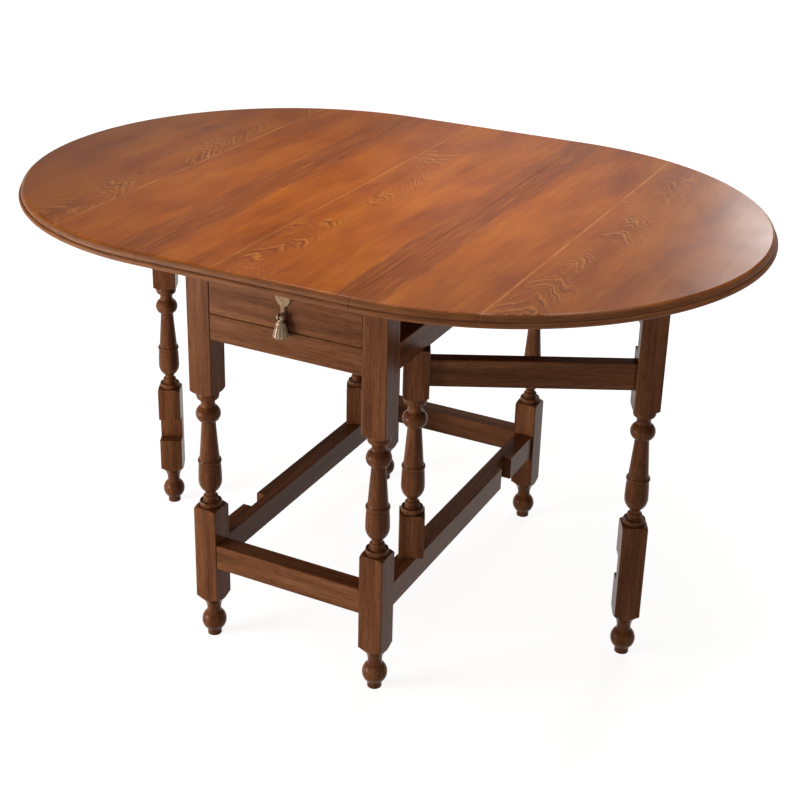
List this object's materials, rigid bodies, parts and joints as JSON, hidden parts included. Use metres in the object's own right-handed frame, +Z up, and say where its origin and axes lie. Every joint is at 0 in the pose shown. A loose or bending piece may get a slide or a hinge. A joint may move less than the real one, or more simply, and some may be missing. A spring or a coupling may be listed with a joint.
{
  "type": "gate-leg dining table",
  "caption": "Oval drop-leaf dining table with a fixed centre top, hinged half-round leaves on swinging turned gate legs, a box stretcher and an end drawer with a drop pull.",
  "frame": {"origin": "on the floor below the middle of the top", "axes": "+Z up, +X from leaf to leaf, the drawer faces -Y"},
  "size_m": [1.2848, 0.928, 0.737],
  "materials": {
    "top_oak": "gloss varnish",
    "leg_oak": "satin stain",
    "rail_oak": "satin stain",
    "inner_wood": "bare",
    "hinge_plate": "dark iron",
    "hinge_pin": "drawn",
    "pull_brass": "antique"
  },
  "bodies": {
    "frame": {"leg_front_left": "leg_oak", "leg_front_right": "leg_oak", "leg_rear_left": "leg_oak", "leg_rear_right": "leg_oak", "stretcher_front": "leg_oak", "stretcher_rear": "leg_oak", "stretcher_left": "leg_oak", "stretcher_right": "leg_oak", "drawer_rail": "rail_oak", "rear_apron": "rail_oak", "side_rail_left": "rail_oak", "side_rail_right": "rail_oak", "drawer_runner_left": "inner_wood", "drawer_runner_right": "inner_wood", "top_bearer_left": "inner_wood", "top_bearer_right": "inner_wood", "drawer_stops": "inner_wood", "top_centre_left_board": "top_oak", "top_centre_right_board": "top_oak", "hinge_fixed_plates_left": "hinge_plate", "hinge_fixed_plates_right": "hinge_plate", "hinge_pins_left": "hinge_pin", "hinge_pins_right": "hinge_pin", "gate_pins_left": "leg_oak", "gate_pins_right": "leg_oak"},
    "drawer": {"drawer_front": "rail_oak", "drawer_side_left": "inner_wood", "drawer_side_right": "inner_wood", "drawer_back": "inner_wood", "drawer_bottom": "inner_wood", "pull_backplate": "pull_brass", "pull_eye": "pull_brass"},
    "pull": {"pull_drop": "pull_brass"},
    "leaf_left": {"leaf_left_inner_board": "top_oak", "leaf_left_outer_board": "top_oak", "leaf_stop_left": "inner_wood", "hinge_leaf_plates_left": "hinge_plate"},
    "gate_left": {"gate_post_left": "leg_oak", "gate_rail_left": "leg_oak", "gate_leg_left": "leg_oak"},
    "leaf_right": {"leaf_right_inner_board": "top_oak", "leaf_right_outer_board": "top_oak", "leaf_stop_right": "inner_wood", "hinge_leaf_plates_right": "hinge_plate"},
    "gate_right": {"gate_post_right": "leg_oak", "gate_rail_right": "leg_oak", "gate_leg_right": "leg_oak"}
  },
  "joints": [
    {"name": "leaf_left_lift", "type": "hinge", "parent": "frame", "child": "leaf_left", "pos_m": [-0.178, 0, 0.718], "axis": [0, 1, 0], "range_deg": [0, 1.5]},
    {"name": "leaf_right_lift", "type": "hinge", "parent": "frame", "child": "leaf_right", "pos_m": [0.178, 0, 0.718], "axis": [0, -1, 0], "range_deg": [0, 1.5]},
    {"name": "gate_left_swing", "type": "hinge", "parent": "frame", "child": "gate_left", "pos_m": [-0.156, 0.194, 0.374], "axis": [0, 0, 1], "range_deg": [0, 63]},
    {"name": "gate_right_swing", "type": "hinge", "parent": "frame", "child": "gate_right", "pos_m": [0.156, -0.194, 0.374], "axis": [0, 0, 1], "range_deg": [0, 63]},
    {"name": "drawer_slide", "type": "slide", "parent": "frame", "child": "drawer", "axis": [0, -1, 0], "range_m": [0, 0.32]},
    {"name": "pull_drop_swing", "type": "hinge", "parent": "drawer", "child": "pull", "pos_m": [0, -0.346, 0.6315], "axis": [-1, 0, 0], "range_deg": [0, 80]}
  ]
}
